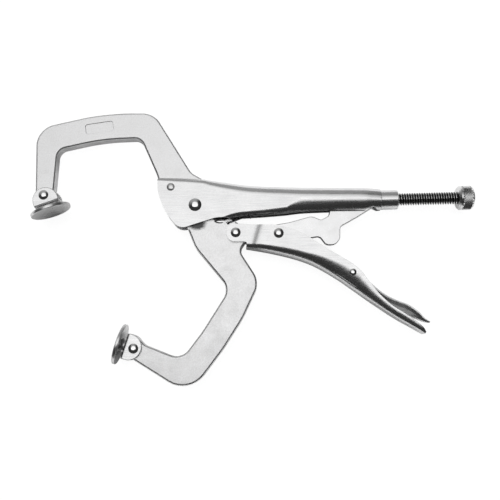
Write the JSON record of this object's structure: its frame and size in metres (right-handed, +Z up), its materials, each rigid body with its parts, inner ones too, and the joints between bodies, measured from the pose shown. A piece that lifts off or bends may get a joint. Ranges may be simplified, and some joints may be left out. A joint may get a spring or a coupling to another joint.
{
  "type": "locking pliers",
  "caption": "Plated locking clamp pliers with deep C-shaped jaws, swivelling round pads, over-centre lever with release lever, and a knurled adjusting screw.",
  "frame": {"origin": "under the middle of the whole tool's box, on the surface that it lies on with its side down", "axes": "+X from the jaws to the adjusting knob, +Y from the lower jaw to the upper handle, in the plane of the jaws, +Z up out of that plane, along every rivet"},
  "size_m": [0.2844, 0.1752, 0.0258],
  "materials": {
    "forged_steel": "satin nickel plate over a fine-grained forging",
    "plated_sheet": "bright nickel plate on pressed steel sheet",
    "rivet_steel": "polished and plated rivet steel",
    "link_steel": "satin plated flat steel",
    "screw_steel": "bright plated, rolled thread",
    "pad_steel": "fine turned steel, plated",
    "spring_steel": "oiled spring wire"
  },
  "bodies": {
    "frame": {"handle_frame": "plated_sheet", "fixed_jaw": "forged_steel", "jaw_dowel": "rivet_steel", "threaded_bush": "plated_sheet"},
    "main_rivet": {"main_rivet": "rivet_steel", "opening_spring": "spring_steel"},
    "jaw": {"moving_jaw": "forged_steel"},
    "lever_rivet": {"lever_rivet": "rivet_steel"},
    "lever": {"lever_handle": "plated_sheet", "link_rivet": "rivet_steel", "release_rivet": "rivet_steel"},
    "link": {"toggle_link": "link_steel"},
    "release": {"release_lever": "plated_sheet"},
    "screw": {"adjusting_screw": "screw_steel"},
    "knob": {"screw_knob": "screw_steel"},
    "upper_pad": {"upper_pad_disc": "pad_steel", "upper_pad_stud": "pad_steel", "upper_pad_bracket": "plated_sheet", "upper_pad_rivet": "rivet_steel"},
    "lower_pad": {"lower_pad_disc": "pad_steel", "lower_pad_stud": "pad_steel", "lower_pad_bracket": "plated_sheet", "lower_pad_rivet": "rivet_steel"}
  },
  "joints": [
    {"name": "squeeze", "type": "hinge", "parent": "lever_rivet", "child": "lever", "pos_m": [-0.01032, 0.00836, 0.0129], "axis": [0, 0, 1], "range_deg": [0, 19.4]},
    {"name": "jaw_swing", "type": "hinge", "parent": "lever_rivet", "child": "jaw", "pos_m": [-0.01032, 0.00836, 0.0129], "axis": [0, 0, 1], "range_deg": [-58.7, 0]},
    {"name": "jaw_adjust", "type": "hinge", "parent": "jaw", "child": "main_rivet", "pos_m": [-0.03622, 0.02616, 0.0129], "axis": [0, 0, 1], "range_deg": [0, 50], "deforming": ["opening_spring"]},
    {"name": "jaw_squeeze", "type": "hinge", "parent": "main_rivet", "child": "frame", "pos_m": [-0.03622, 0.02616, 0.0129], "axis": [0, 0, 1], "range_deg": [0, 3.6]},
    {"name": "link_fold", "type": "hinge", "parent": "lever", "child": "link", "pos_m": [0.01688, 0.00776, 0.0129], "axis": [0, 0, 1], "range_deg": [-21.8, 0]},
    {"name": "release_pull", "type": "hinge", "parent": "lever", "child": "release", "pos_m": [0.06328, -0.01704, 0.0129], "axis": [0, 0, 1], "range_deg": [-4.5, 0]},
    {"name": "screw_feed", "type": "slide", "parent": "frame", "child": "screw", "axis": [0.9997, 0.0262, 0], "range_m": [-0.0273, 0]},
    {"name": "knob_turn", "type": "hinge", "parent": "screw", "child": "knob", "pos_m": [0.09378, 0.03086, 0.0129], "axis": [0.9997, 0.0262, 0], "range_deg": [-6136, 0]},
    {"name": "upper_pad_swivel", "type": "hinge", "parent": "frame", "child": "upper_pad", "pos_m": [-0.13302, 0.03256, 0.0129], "axis": [0, 0, 1], "range_deg": [-15, 15]},
    {"name": "lower_pad_swivel", "type": "hinge", "parent": "jaw", "child": "lower_pad", "pos_m": [-0.07352, -0.06454, 0.0129], "axis": [0, 0, 1], "range_deg": [-12, 12]}
  ],
  "couplings": [
    {"joint": "jaw_squeeze", "follows": "squeeze", "ratio": 0.176},
    {"joint": "link_fold", "follows": "squeeze", "ratio": -1.122},
    {"joint": "jaw_swing", "follows": "jaw_adjust", "ratio": -1.172},
    {"joint": "screw_feed", "follows": "jaw_adjust", "m_per_rad": -0.03123},
    {"joint": "knob_turn", "follows": "jaw_adjust", "ratio": -122.62}
  ]
}
